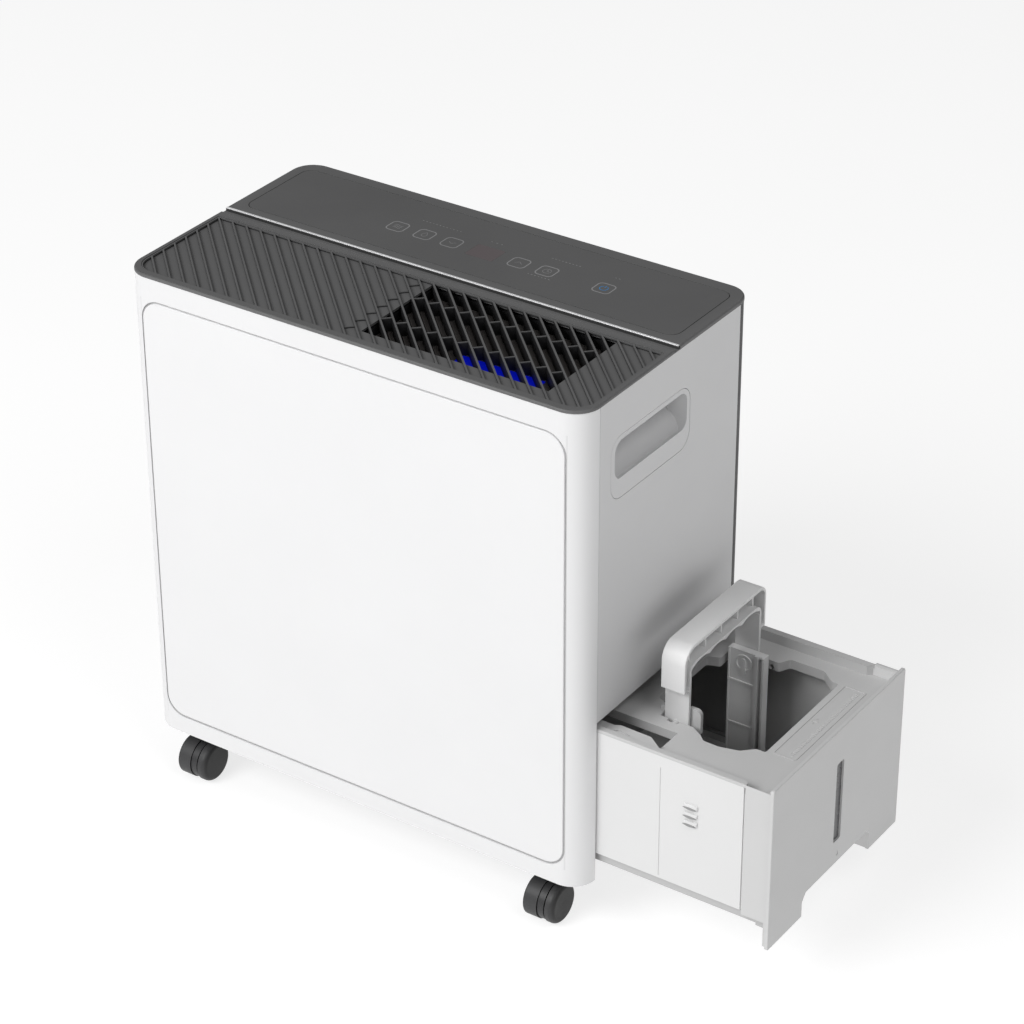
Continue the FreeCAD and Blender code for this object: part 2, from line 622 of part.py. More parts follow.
def level_window():
    """Grey clear pane of the water level slot."""
    x1 = TUB_X[1]
    rim = slab("yz", SLOT_Y[0] - 2.6, SLOT_Y[1] + 2.6, SLOT_Z[0] - 2.6, SLOT_Z[1] + 2.6,
               x1 - 2.2, x1, (2, 2, 2, 2))
    pane = slab("yz", SLOT_Y[0], SLOT_Y[1], SLOT_Z[0], SLOT_Z[1], x1, x1 + 1.2, (2, 2, 2, 2))
    return rim.fuse(pane).removeSplitter()


def deck_mouth(z0, z1, grow):
    """The pouring mouth of the bucket cover with its bays for the bail, grown outward."""
    corners = [(204, -20, 3), (216.5, -25, 2), (216.5, -38.3, 1), (243.8, -38.3, 3),
               (253.2, -43.6, 3), (258.5, -48.6, 3), (271, -48.9, 12), (286, -45.0, 5),
               (294.5, -36.6, 3), (302, -36.6, 2), (302, 66.4, 2), (296.5, 66.4, 2),
               (292.6, 69.0, 3), (285.5, 75.2, 5), (257, 75.2, 3), (252.4, 66.4, 3),
               (213.8, 66.4, 1), (213.8, 48.8, 2), (204, 45, 3)]
    return soft("xy", outline(corners, grow), z0, z1)


def bucket_cover():
    """Deck of the bucket: mouth with a deep edge, float pocket, bail guard and rim."""
    x0, x1 = TUB_X[0] + TUB_WALL + 0.4, TUB_X[1] - TUB_WALL - 0.4
    y0, y1 = TUB_Y[0] + TUB_WALL + 0.2, TUB_Y[1] - TUB_WALL - 0.2
    low = DECK_TOP - DECK_THICK
    corner = (9, 1, 1, 9)
    deck = slab("xy", x0, x1, y0, y1, low, DECK_TOP, corner)
    wall = slab("xy", x0, x1, y0, y1, DECK_TOP, RIM_TOP, corner)
    flange = slab("xy", TUB_X[0] - 0.1, x1, TUB_Y[0] - 0.3, TUB_Y[1] + 0.3, RIM_TOP - 2.4, RIM_TOP,
                  (12, 1, 1, 12))
    flange = rounded(flange, 1.0, lambda e: flat_at(RIM_TOP)(e) and e.BoundBox.XMin < x1 - 5)
    inner = [(x0 + 2.4, y0 + 2.2, 7), (JOG_X - 2, y0 + 2.2, 1), (JOG_X - 0.5, y0, 0), (345, y0, 0),
             (345, y1, 0), (JOG_X - 0.5, y1, 0), (JOG_X - 4, y1 - 3.2, 1), (x0 + 2.4, y1 - 3.2, 7)]
    wall = fused([wall, flange]).cut(soft("xy", inner, DECK_TOP, 180))
    wall = wall.cut(box(JOG_X, 345, -100, 100, 160, 180))
    edge = deck_mouth(DECK_TOP - 7.6, DECK_TOP, 2.0)
    px0, px1, py0, py1 = POCKET
    pocket = box(px0 - 2, px1 + 2, py0 - 2, py1 + 2, DECK_TOP - 7, low)
    blocks = [box(PIVOT_X - 5, PIVOT_X + 5, -43.0, -38.3, 157.5, low),
              box(PIVOT_X - 5, PIVOT_X + 5, 66.4, 71.5, 157.5, low)]
    cover = fused([deck, wall, edge, pocket] + blocks)
    cover = cover.cut(deck_mouth(DECK_TOP - 20, DECK_TOP + 1, 0.0))
    cover = cover.cut(box(px0, px1, py0, py1, 140, 180))
    guard = [(210.5, 158.4, 0), (241, 155.5, 0), (246.2, 155.5, 2), (246.2, 176.0, 4.5),
             (236.5, 176.0, 2), (233, 170.6, 2), (213.2, 170.6, 1.5), (213.2, 166, 0), (210.5, 166, 0)]
    guard = soft("xz", guard, -31.9, -28.7)
    bores = [rod(PIN_R, (PIVOT_X, a, PIVOT_Z), (PIVOT_X, b, PIVOT_Z))
             for a, b in ((-43.0, -26), (58, 71.5))]
    trough = rod(4.6, (PIVOT_X, -41.4, DECK_TOP), (PIVOT_X, -38, DECK_TOP))
    drain = rod(2.2, (246.5, 60, 160.5), (246.5, 70, 160.5))
    cover = fused([cover, guard]).cut(fused(bores)).cut(trough).cut(drain)
    label = slab("xy", 306.4, 324.6, -34.5, 67.0, DECK_TOP, DECK_TOP + 0.5, (2, 2, 2, 2))
    label = label.cut(slab("xy", 307.2, 323.8, -33.7, 66.2, DECK_TOP - 1, 170, (1.2,) * 4))
    return fused([cover, label])


def bucket_handle():
    """Bail of the bucket: outer strap, waved finger strap on the legs, web and ribs."""
    y0, y1 = BAIL_Y
    h = STRAP_WIDTH / 2
    top = BAIL_TOP
    x = PIVOT_X
    outer = slab("yz", y0, y1, PIVOT_Z, top, x - h, x + h,
                 (0, 0, BAIL_CORNER[1], BAIL_CORNER[0]))
    outer = outer.cut(slab("yz", y0 + STRAP, y1 - STRAP, PIVOT_Z - 30, top - STRAP, x - h - 1,
                           x + h + 1, (0, 0, BAIL_CORNER[1] - STRAP, BAIL_CORNER[0] - STRAP)))
    outer = outer.common(box(0, 400, -100, 100, SHOULDER_Z, 300))
    outer = rounded(outer, 0.8, lambda e: e.BoundBox.XLength < 1e-6 and outer_side(e))
    legs = []
    for a in (LEG_Y[0], LEG_Y[1] - LEG_THICK):
        leg = box(x - h, x + h, a, a + LEG_THICK, PIVOT_Z, GRIP_TOP - 8)
        legs += [leg, rod(h, (x, a, PIVOT_Z), (x, a + LEG_THICK, PIVOT_Z))]
    legs.append(box(x - h, x + h, y0 + 1, LEG_Y[0] + 1, SHOULDER_Z, SHOULDER_Z + 2))
    legs.append(box(x - h, x + h, LEG_Y[1] - 1, y1 - 1, SHOULDER_Z, SHOULDER_Z + 2))
    strap = slab("yz", LEG_Y[0], LEG_Y[1], SHOULDER_Z, GRIP_TOP, x - h, x + h, (0, 0, 8, 8))
    web = slab("yz", y0 + 1, y1 - 1, SHOULDER_Z + 0.5, top - 1, x - 7.0, x - 5.0,
               (0, 0, BAIL_CORNER[1] - 1, BAIL_CORNER[0] - 1))
    ribs = [box(x - 6, x + h - 4, y - 0.8, y + 0.8, GRIP_TOP - 4, top - 1)
            for y in (-30, -8, 13.5, 36, 57)]
    core = bail_core(x - 20, x + 20)
    bail = fused([outer] + [p.cut(core) for p in [strap, web] + ribs] + legs)
    bores = [rod(PIN_R + RUN, (x, a - 1, PIVOT_Z), (x, a + LEG_THICK + 1, PIVOT_Z))
             for a in (LEG_Y[0], LEG_Y[1] - LEG_THICK)]
    return bail.cut(fused(bores))


def outer_side(edge):
    """Whether an edge lies on the outer face of the outer strap."""
    box_ = edge.BoundBox
    top = abs(box_.ZMax - BAIL_TOP) < 1e-4
    front = abs(box_.YMin - BAIL_Y[0]) < 1e-4
    rear = abs(box_.YMax - BAIL_Y[1]) < 1e-4
    return box_.ZLength + box_.YLength > 5 and (top or front or rear)


def bail_core(x0, x1):
    """The free space under the finger strap, with four shallow arches in its roof."""
    y0, y1 = LEG_Y[0] + 2.0, LEG_Y[1] - 2.0
    core = slab("yz", y0, y1, SHOULDER_Z - 20, GRIP_TOP - 3.7, x0, x1, (0, 0, 6, 6))
    roof = slab("yz", y0, y1, SHOULDER_Z - 20, GRIP_TOP, x0, x1, (0, 0, 8, 8))
    arches = [rod(27.5, (x0, y, GRIP_TOP - 29.0), (x1, y, GRIP_TOP - 29.0)) for y in FINGERS_Y]
    return fused([core] + [roof.common(a) for a in arches])


def handle_pins():
    """Two pins the bail turns on."""
    out = []
    for a, b in ((-42.8, -28.9), (60.6, 71.3)):
        out.append(rod(PIN_R, (PIVOT_X, a, PIVOT_Z), (PIVOT_X, b, PIVOT_Z)))
    return out


def guide_column():
    """Ribbed upright channel in the tub, in front of the rear leg of the bail."""
    low = TUB_BOTTOM + TUB_WALL
    top = 174.5
    plate = box(217.2, 241.0, 54.3, 56.4, low, top)
    ribs = [box(217.2, 241.0, 53.5, 54.3, z - 0.8, z + 0.8) for z in (110.5, 147.6)]
    border = box(217.2, 218.4, 53.5, 54.3, low, top)
    cap = box(217.2, 247.4, 54.3, 59.9, top - 2.2, top)
    cap = rounded(cap, 0.8, lambda e: flat_at(top)(e) and e.BoundBox.YMax < 54.4)
    sides = [box(217.2, 219.2, 54.3, 59.9, low, top), box(239.6, 241.0, 52.6, 59.9, low, top)]
    channel = box(241.0, 247.4, 52.6, 59.9, low, top).cut(box(242.2, 245.8, 40, 57.5, 0, 300))
    ring = rod(6.9, (230.1, 53.4, 164.6), (230.1, 54.3, 164.6))
    ring = ring.cut(rod(5.7, (230.1, 53, 164.6), (230.1, 54.3, 164.6)))
    drop = slab("xz", 228.0, 231.8, 154.6, 168.6, 52.9, 54.3, (1.8,) * 4)
    return fused([plate, border, cap, channel, ring, drop] + sides + ribs)


def float_arm():
    """Flat arm of the float, seen in the pocket of the cover."""
    edge = [(158, -82.6, 0), (243.4, -82.6, 0), (240.8, -78.4, 1), (229.4, -70.4, 2),
            (204, -69.8, 2), (200, -72.0, 2), (158, -72.4, 0)]
    arm = soft("xy", edge, 168.0, 170.2)
    notch = soft("xy", [(203, -79.4, 0.5), (219, -77.6, 0.5), (205, -75.0, 0.5)], 169.2, 175)
    knuckle = rod(4.4, (193, -77.4, 170.0), (193, -77.4, 171.2))
    stem = box(168, 178, -77, -73, 120, 168.5)
    return fused([arm.cut(notch), knuckle, stem])


def float_body():
    """Hollow float fixed under the arm."""
    body = slab("xy", 152, 194, -79, -58, 88, 120, (4, 4, 4, 4))
    return body.cut(slab("xy", 154, 192, -77, -60, 90, 118, (2.5,) * 4))


# ---------------------------------------------------------------- air path

def air_filter_frame():
    """Slatted dark frame in the rear window that carries the dust mesh."""
    plate = slab("xz", -151.4, 151.4, 214.6, 395.4, DEPTH / 2 - 3.0, DEPTH / 2, (7.4,) * 4)
    slots = [slab("xz", -140 + 95 * c, -49 + 95 * c, z, z + 5.0, 90, 120, (2.4,) * 4)
             for c in range(3) for z in [224 + 9.4 * i for i in range(17)]]
    plate = plate.cut(Part.makeCompound(slots))
    rim = slab("xz", -148, 148, 218, 392, 92, DEPTH / 2 - 3.0, (5,) * 4)
    rim = rim.cut(slab("xz", -145.5, 145.5, 220.5, 389.5, 90, 110, (3,) * 4))
    tab = slab("xz", -14, 14, 384, 391, DEPTH / 2 - 1, DEPTH / 2 + 1.8, (2,) * 4)
    return fused([plate, rim, tab])


def air_filter_mesh():
    """Dust mesh with a square grid of support bars."""
    plate = slab("xz", -145.2, 145.2, 220.8, 389.2, 93.5, 94.1, (3.2,) * 4)
    bars = [box(x - 0.8, x + 0.8, 92.3, 93.5, 221, 389) for x in range(-120, 121, 40)]
    bars += [box(-145.2, 145.2, 92.3, 93.5, z - 0.8, z + 0.8) for z in (262, 304, 346)]
    return fused([plate] + bars)


def coil(y0, y1, first):
    """Fin pack of a heat exchanger, with end plates and tube bends."""
    x0, x1 = COIL_X
    z0, z1 = COIL_Z
    fins = []
    x = x0 + first
    while x < x1 - 2:
        fins.append(box(x, x + 0.6, y0 + 1, y1 - 1, z0 + 1, z1 - 1))
        x += FIN_PITCH
    ends = [box(x0, x0 + 1.5, y0, y1, z0, z1), box(x1 - 1.5, x1, y0, y1, z0, z1)]
    tubes = []
    mid = (y0 + y1) / 2
    step = (z1 - z0) / 8
    for i in range(8):
        z = z0 + step * (i + 0.5)
        tubes.append(rod(3.5, (x0 - 6, mid, z), (x1 + 6, mid, z)))
    for i in range(7):
        x = x1 + 6 if i % 2 == 0 else x0 - 6
        z = z0 + step * (i + 0.5)
        tubes.append(rod(3.5, (x, mid, z - 3), (x, mid, z + step + 3)))
    return fused(ends + fins + tubes)


def drip_tray():
    """Shallow tray under the coils, with a spout over the bucket."""
    tray = box(-68, 168, 1, 62, SHELF_TOP, 197)
    tray = tray.cut(box(-66, 166, 3, 60, SHELF_TOP + 2, 200))
    lugs = [box(x, x + 8, 4, 59, SHELF_TOP + 2, 196.8) for x in (-58, 50, 150)]
    return fused([tray] + lugs)


def fan_profile(y0, y1, inset):
    """Round fan chamber with its upright throat, shrunk by a wall."""
    r = SCROLL_R - inset
    drum = rod(r, (FAN_X, y0, FAN_Z), (FAN_X, y1, FAN_Z))
    throat = box(WINDOW[0] - 2 + inset, WINDOW[1] + 2 - inset, y0, y1, FAN_Z, 402 + inset)
    return fused([drum, throat])


def fan_scroll():
    """Fan housing, open to the rear and at the top."""
    y0, y1 = SCROLL_Y
    shell = fan_profile(y0, y1, 0.0).cut(fan_profile(y0 + 2, y1 + 1, 2.0))
    return shell.cut(rod(24, (FAN_X, -100, FAN_Z), (FAN_X, -80, FAN_Z)))


def fan_inlet_plate():
    """Rear wall of the fan housing with the inlet ring."""
    y0 = SCROLL_Y[1]
    plate = fan_profile(y0 + 0.1, y0 + 2.1, 0.0)
    plate = plate.common(box(-100, 300, -50, 50, 0, 402))
    plate = plate.cut(rod(57, (FAN_X, -20, FAN_Z), (FAN_X, 20, FAN_Z)))
    ring = rod(59, (FAN_X, -11, FAN_Z), (FAN_X, y0 + 2.1, FAN_Z))
    ring = ring.cut(rod(57, (FAN_X, -20, FAN_Z), (FAN_X, 20, FAN_Z)))
    return fused([plate, ring])


def fan_motor():
    """Motor can on the front wall of the fan housing, inside the wheel."""
    can = rod(32, (FAN_X, -89.9, FAN_Z), (FAN_X, -54, FAN_Z))
    can = rounded(can, 4, lambda e: e.BoundBox.YMin > -54.1)
    nose = rod(23.8, (FAN_X, -92.2, FAN_Z), (FAN_X, -89.9, FAN_Z))
    boss = rod(10, (FAN_X, -55, FAN_Z), (FAN_X, -50, FAN_Z))
    return fused([can, nose, boss]).cut(rod(4 + RUN, (FAN_X, -80, FAN_Z), (FAN_X, -40, FAN_Z)))


def fan_shaft():
    """Shaft between motor and wheel."""
    return rod(4, (FAN_X, -79.5, FAN_Z), (FAN_X, -30, FAN_Z))


def fan_wheel():
    """Drum fan with forward blades between two rings and a web."""
    web = rod(WHEEL_OUT - 1, (FAN_X, -46, FAN_Z), (FAN_X, -43.5, FAN_Z))
    hub = rod(12, (FAN_X, -47, FAN_Z), (FAN_X, -32, FAN_Z))
    rings = []
    for a, b in ((-84, -81), (-18, -15)):
        ring = rod(WHEEL_OUT, (FAN_X, a, FAN_Z), (FAN_X, b, FAN_Z))
        rings.append(ring.cut(rod(WHEEL_IN + 2, (FAN_X, a - 1, FAN_Z), (FAN_X, b + 1, FAN_Z))))
    blades = []
    for i in range(BLADES):
        blade = box(WHEEL_IN, WHEEL_OUT - 1.2, -83, -16, -0.6, 0.6)
        blade.rotate(FreeCAD.Vector(WHEEL_OUT - 4, 0, 0), FreeCAD.Vector(0, 1, 0), 24)
        blade.rotate(FreeCAD.Vector(0, 0, 0), FreeCAD.Vector(0, 1, 0), 360.0 * i / BLADES)
        blade.translate(FreeCAD.Vector(FAN_X, 0, FAN_Z))
        blades.append(blade)
    wheel = fused([web, hub] + rings + blades)
    return wheel.cut(rod(4, (FAN_X, -100, FAN_Z), (FAN_X, 0, FAN_Z)))


def ion_lamp():
    """Flat lamp bar on the slats at the front of the outlet throat."""
    bar = box(68, 136, -75.5, -64.5, 420.3, 421.0)
    lens = [rod(2.0, (x, -70.0, 420.6), (x, -70.0, 421.3)) for x in range(74, 136, 14)]
    return fused([bar] + lens)


# ---------------------------------------------------------------- cold circuit and electrics

def foot_places():
    """Plan positions of the three compressor feet."""
    return [(COMP_X + 60 * math.cos(math.radians(a)), COMP_Y + 60 * math.sin(math.radians(a)))
            for a in (90, 210, 330)]


def compressor():
    """Compressor can with a domed top, a seam band and a three-foot plate."""
    can = rod(COMP_R, (COMP_X, COMP_Y, 64), (COMP_X, COMP_Y, 208))
    can = rounded(can, 20, flat_at(208))
    band = rod(COMP_R + 2, (COMP_X, COMP_Y, 132), (COMP_X, COMP_Y, 138))
    plate = rod(45, (COMP_X, COMP_Y, 61), (COMP_X, COMP_Y, 64))
    arms = [rod(11, (x, y, 61), (x, y, 64)) for x, y in foot_places()]
    for x, y in foot_places():
        mid = ((COMP_X + x) / 2, (COMP_Y + y) / 2)
        angle = math.degrees(math.atan2(y - COMP_Y, x - COMP_X))
        arms.append(slanted(mid[0], mid[1], 60, 20, 61, 64, angle))
    body = fused([can, band, plate] + arms)
    space = rod(COMP_R - 3.5, (COMP_X, COMP_Y, 68), (COMP_X, COMP_Y, 186))
    body = body.cut(space.cut(rod(33, (COMP_X, COMP_Y, 60), (COMP_X, COMP_Y, 200))))
    return body.cut(fused([rod(3.2, (x, y, 60), (x, y, 65)) for x, y in foot_places()]))


def compressor_grommets():
    """Rubber feet between compressor and base."""
    return [rod(8, (x, y, 53), (x, y, 61)).cut(rod(3.2, (x, y, 50), (x, y, 65)))
            for x, y in foot_places()]


def compressor_bolts():
    """Bolts through the rubber feet."""
    out = []
    for x, y in foot_places():
        out.append(rod(3.0, (x, y, 53.1), (x, y, 64.2)).fuse(rod(6, (x, y, 64.2), (x, y, 67))))
    return [b.removeSplitter() for b in out]


def pipe(points, radius):
    """A round pipe through straight runs with ball corners."""
    parts = []
    for a, b in zip(points, points[1:]):
        parts.append(rod(radius, a, b))
    for p in points[1:-1]:
        parts.append(Part.makeSphere(radius, FreeCAD.Vector(*p)))
    return fused(parts)


def discharge_pipe():
    """From the compressor to the head of the condenser."""
    y = sum(CONDENSER_Y) / 2
    return pipe([(-110, y, 208.1), (-110, y, 385.4), (-66.2, y, 385.4)], 3.0)


def suction_pipe():
    """From the evaporator back to the compressor."""
    y = sum(EVAPORATOR_Y) / 2
    return pipe([(-66.2, y, 209.6), (-84, y, 209.6), (-84, y, 230), (-136, y, 230), (-136, 8, 230),
                 (-136, 8, 208.1)], 4.0)


def control_board():
    """Circuit board under the touch panel, with relays, sockets and a display module."""
    board = box(-90, 130, 26, 84, 419.5, 421.1)
    parts = [box(-60, -40, 60, 76, 411, 419.5), box(-34, -14, 60, 76, 411, 419.5),
             box(90, 118, 62, 80, 408, 419.5), box(-6.5, 17, 44.3, 62.8, 421.1, 425.5),
             rod(6, (60, 70, 402), (60, 70, 419.5)), rod(5, (76, 70, 406), (76, 70, 419.5))]
    pads = [rod(5.5, (x, KEY_Y, 421.1), (x, KEY_Y, 424.5)) for x in KEY_X]
    return fused([board] + parts + pads)


def run_capacitor():
    """Motor capacitor in its clip on the divider shelf side."""
    can = rod(17, (-160, -62, 240), (-160, -62, 300))
    tags = [box(-166, -164, -65, -59, 300, 308), box(-156, -154, -65, -59, 300, 308)]
    strap = box(-192.8, -170, -66, -58, 262, 278)
    return fused([can, strap] + tags)


def humidity_sensor():
    """Slotted sensor pod behind the rear grille."""
    pod = box(-176, -160, 80, 98, 300, 330)
    return pod.cut(Part.makeCompound([box(-180, -150, 96, 99, z, z + 2) for z in range(304, 327, 5)]))


def bucket_switch():
    """Switch pod on the bay wall that senses the bucket."""
    pod = box(-14, -9.5, -30, -8, 150, 170)
    lever = box(-9.5, -8.7, -28, -10, 152, 154)
    return fused([pod, lever])


def drain_outlet():
    """Rear hose socket with a flange, open to the tray behind it."""
    flange = rod(12, (-60, 107.0, 84), (-60, 109.5, 84))
    barrel = rod(9, (-60, 80, 84), (-60, 109.5, 84))
    back = rod(14.5, (-60, 102, 84), (-60, 104.9, 84))
    return fused([flange, barrel, back]).cut(rod(6, (-60, 70, 84), (-60, 120, 84)))


def cord_gland():
    """Bushing where a supply lead would enter."""
    barrel = rod(9, (-150, 100, 92), (-150, 109.2, 92))
    rim = rod(11.5, (-150, 108.4, 92), (-150, 110.1, 92))
    back = rod(11, (-150, 101.5, 92), (-150, 104.9, 92))
    return fused([barrel, rim, back]).cut(rod(4.2, (-150, 90, 92), (-150, 120, 92)))


def nodes():
    """Every node's name with its solids, in the drawing frame."""
    table = {
        "front_cover": [front_cover()],
        "front_inlay": [front_inlay()],
        "side_panel_right": [side_panel(BAY_TOP)],
        "side_panel_left": [mirrored(side_panel(FLOOR_GAP))],
        "hand_grip_right": [hand_grip()],
        "hand_grip_left": [mirrored(hand_grip())],
        "rear_cover": [rear_cover()],
        "rear_screws": rear_screws(),
        "base_pan": [base_pan()],
        "caster_sockets": caster_sockets(),
        "bay_divider": [bay_divider()],
        "top_cover": [top_cover()],
        "top_ribs": [top_ribs()],
        "outlet_lattice": [outlet_lattice()],
        "outlet_vanes": [outlet_vanes()],
        "outlet_duct": [outlet_duct()],
        "trim_strip": [trim_strip()],
        "control_panel": [control_panel()],
        "display_window": [display_window()],
        "touch_keys": touch_keys(),
        "bucket_tub": [bucket_tub()],
        "bucket_end_panel": [bucket_end_panel()],
        "level_window": [level_window()],
        "bucket_cover": [bucket_cover()],
        "bucket_handle": [bucket_handle()],
        "handle_pins": handle_pins(),
        "guide_column": [guide_column()],
        "float_arm": [float_arm()],
        "float_body": [float_body()],
        "air_filter_frame": [air_filter_frame()],
        "air_filter_mesh": [air_filter_mesh()],
        "condenser": [coil(CONDENSER_Y[0], CONDENSER_Y[1], 4.0)],
        "evaporator": [coil(EVAPORATOR_Y[0], EVAPORATOR_Y[1], 6.5)],
        "drip_tray": [drip_tray()],
        "fan_scroll": [fan_scroll()],
        "fan_inlet_plate": [fan_inlet_plate()],
        "fan_motor": [fan_motor()],
        "fan_shaft": [fan_shaft()],
        "fan_wheel": [fan_wheel()],
        "ion_lamp": [ion_lamp()],
        "compressor": [compressor()],
        "compressor_grommets": compressor_grommets(),
        "compressor_bolts": compressor_bolts(),
        "discharge_pipe": [discharge_pipe()],
        "suction_pipe": [suction_pipe()],
        "control_board": [control_board()],
        "run_capacitor": [run_capacitor()],
        "humidity_sensor": [humidity_sensor()],
        "bucket_switch": [bucket_switch()],
        "drain_outlet": [drain_outlet()],
        "cord_gland": [cord_gland()],
    }
    for tag, sy in (("front", -1), ("rear", 1)):
        fork = caster_fork(sy)
        wheels = caster_wheels(sy)
        table["caster_fork_%s_right" % tag] = [fork]
        table["caster_wheels_%s_right" % tag] = wheels
        away = FreeCAD.Vector(-2 * CASTER_X, 0, 0)
        table["caster_fork_%s_left" % tag] = [fork.translated(away)]
        table["caster_wheels_%s_left" % tag] = [w.translated(away) for w in wheels]
    return table


os.makedirs("parts", exist_ok=True)
for name, solids in nodes().items():
    shape = solids[0] if len(solids) == 1 else Part.makeCompound(solids)
    moved = shape.translated(FreeCAD.Vector(SHIFT_X, 0, 0))
    moved.exportStep("parts/%s.step" % name)
    print(name, len(moved.Solids), moved.isValid(), round(moved.Volume / 1000.0, 2), "cm3")
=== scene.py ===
"""Looks of the dehumidifier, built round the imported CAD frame. Metres, row frame, +Z up."""
import json
import math
import random

import bmesh
import bpy
from mathutils import Matrix, Vector


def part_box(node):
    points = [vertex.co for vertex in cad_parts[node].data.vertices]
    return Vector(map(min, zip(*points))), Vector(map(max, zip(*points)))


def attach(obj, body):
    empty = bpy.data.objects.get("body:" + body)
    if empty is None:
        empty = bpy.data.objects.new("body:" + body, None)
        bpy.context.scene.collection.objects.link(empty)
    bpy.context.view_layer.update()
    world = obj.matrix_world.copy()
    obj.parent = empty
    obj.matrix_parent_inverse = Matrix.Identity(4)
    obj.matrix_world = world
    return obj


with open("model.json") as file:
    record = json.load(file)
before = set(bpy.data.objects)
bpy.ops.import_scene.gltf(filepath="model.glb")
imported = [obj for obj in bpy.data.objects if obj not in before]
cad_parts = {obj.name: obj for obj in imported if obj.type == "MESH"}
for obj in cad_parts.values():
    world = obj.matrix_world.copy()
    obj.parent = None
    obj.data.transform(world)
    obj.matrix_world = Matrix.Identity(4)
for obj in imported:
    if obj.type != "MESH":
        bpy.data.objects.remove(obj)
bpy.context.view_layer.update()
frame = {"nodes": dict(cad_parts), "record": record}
random.seed(7)
MM = 0.001

# The row frame sits under the middle of the whole object, the casing's middle is at CASING_X
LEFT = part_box("front_cover")[0].x
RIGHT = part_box("front_cover")[1].x
CASING_X = (LEFT + RIGHT) / 2


# ---------------------------------------------------------------- materials

PLASTIC_IOR = 1.46
CLEAR_IOR = 1.49
# A band of Blender's wave texture repeats every 2 pi / 20 at scale 1
WAVE_SPAN = math.tau / 20


class Nodes:
    """One new material with its shader, and short ways to add nodes to it."""

    def __init__(self, name):
        self.mat = bpy.data.materials.new(name)
        self.mat.use_nodes = True
        self.tree = self.mat.node_tree
        self.tree.nodes.clear()
        self.out = self.add("ShaderNodeOutputMaterial")
        self.shader = self.add("ShaderNodeBsdfPrincipled")
        self.link(self.shader.outputs["BSDF"], self.out.inputs["Surface"])
        self.coord = self.add("ShaderNodeTexCoord").outputs["Object"]

    def add(self, kind, **values):
        node = self.tree.nodes.new(kind)
        for key, value in values.items():
            setattr(node, key, value)
        return node

    def link(self, a, b):
        self.tree.links.new(a, b)

    def noise(self, scale, detail=3.0, rough=0.5, stretch=None):
        node = self.add("ShaderNodeTexNoise")
        node.inputs["Scale"].default_value = scale
        node.inputs["Detail"].default_value = detail
        node.inputs["Roughness"].default_value = rough
        source = self.coord
        if stretch:
            mapping = self.add("ShaderNodeMapping")
            mapping.inputs["Scale"].default_value = stretch
            self.link(source, mapping.inputs["Vector"])
            source = mapping.outputs["Vector"]
        self.link(source, node.inputs["Vector"])
        return node.outputs["Fac"]

    def ranged(self, value, low, high, a=0.3, b=0.7):
        """Runs from low to high as the value goes from a to b, and stays there outside."""
        node = self.add("ShaderNodeMapRange")
        self.link(value, node.inputs["Value"])
        for key, number in (("From Min", a), ("From Max", b), ("To Min", low), ("To Max", high)):
            node.inputs[key].default_value = number
        return node.outputs["Result"]

    def along(self, axis, start, end, low, high):
        """Runs from low to high as the place goes from start to end (metres) on axis 0, 1 or 2."""
        split = self.add("ShaderNodeSeparateXYZ")
        self.link(self.coord, split.inputs[0])
        return self.ranged(split.outputs[axis], low, high, start, end)

    def paint_shade(self, tone, shade_regions):
        """Paints shade: turns the tone dark in each of the given regions.

        A region is (spans, dark colour), and a span is (axis, start, end): the tone is untouched
        at its start and fully dark at its end. A region is where all of its spans meet.
        """
        for spans, dark in shade_regions:
            inside = None
            for axis, start, end in spans:
                if start < end:
                    step = self.along(axis, start, end, 0.0, 1.0)
                else:
                    step = self.along(axis, end, start, 1.0, 0.0)
                inside = step if inside is None else self.math("MINIMUM", inside, step)
            tone = self.blend(inside, tone, dark)
        return tone

    def tint(self, factor, first, second):
        """Mixes two fixed colours."""
        node = self.add("ShaderNodeMix", data_type="RGBA")
        self.link(factor, node.inputs[0])
        node.inputs[6].default_value = (*first, 1)
        node.inputs[7].default_value = (*second, 1)
        return node.outputs[2]

    def blend(self, factor, first, second):
        """Mixes a linked colour with a fixed one."""
        node = self.add("ShaderNodeMix", data_type="RGBA")
        self.link(factor, node.inputs[0])
        self.link(first, node.inputs[6])
        node.inputs[7].default_value = (*second, 1)
        return node.outputs[2]

    def math(self, operation, a, b=None):
        node = self.add("ShaderNodeMath", operation=operation)
        for i, value in enumerate((a, b)):
            if value is None:
                continue
            if isinstance(value, (int, float)):
                node.inputs[i].default_value = value
            else:
                self.link(value, node.inputs[i])
        return node.outputs[0]

    def bump(self, height, distance):
        node = self.add("ShaderNodeBump")
        node.inputs["Distance"].default_value = distance
        node.inputs["Strength"].default_value = 1.0
        self.link(height, node.inputs["Height"])
        self.link(node.outputs["Normal"], self.shader.inputs["Normal"])

    def set(self, **values):
        for key, value in values.items():
            self.shader.inputs[key.replace("_", " ")].default_value = value


def scaled(colour, factor):
    return tuple(min(1.0, c * factor) for c in colour)


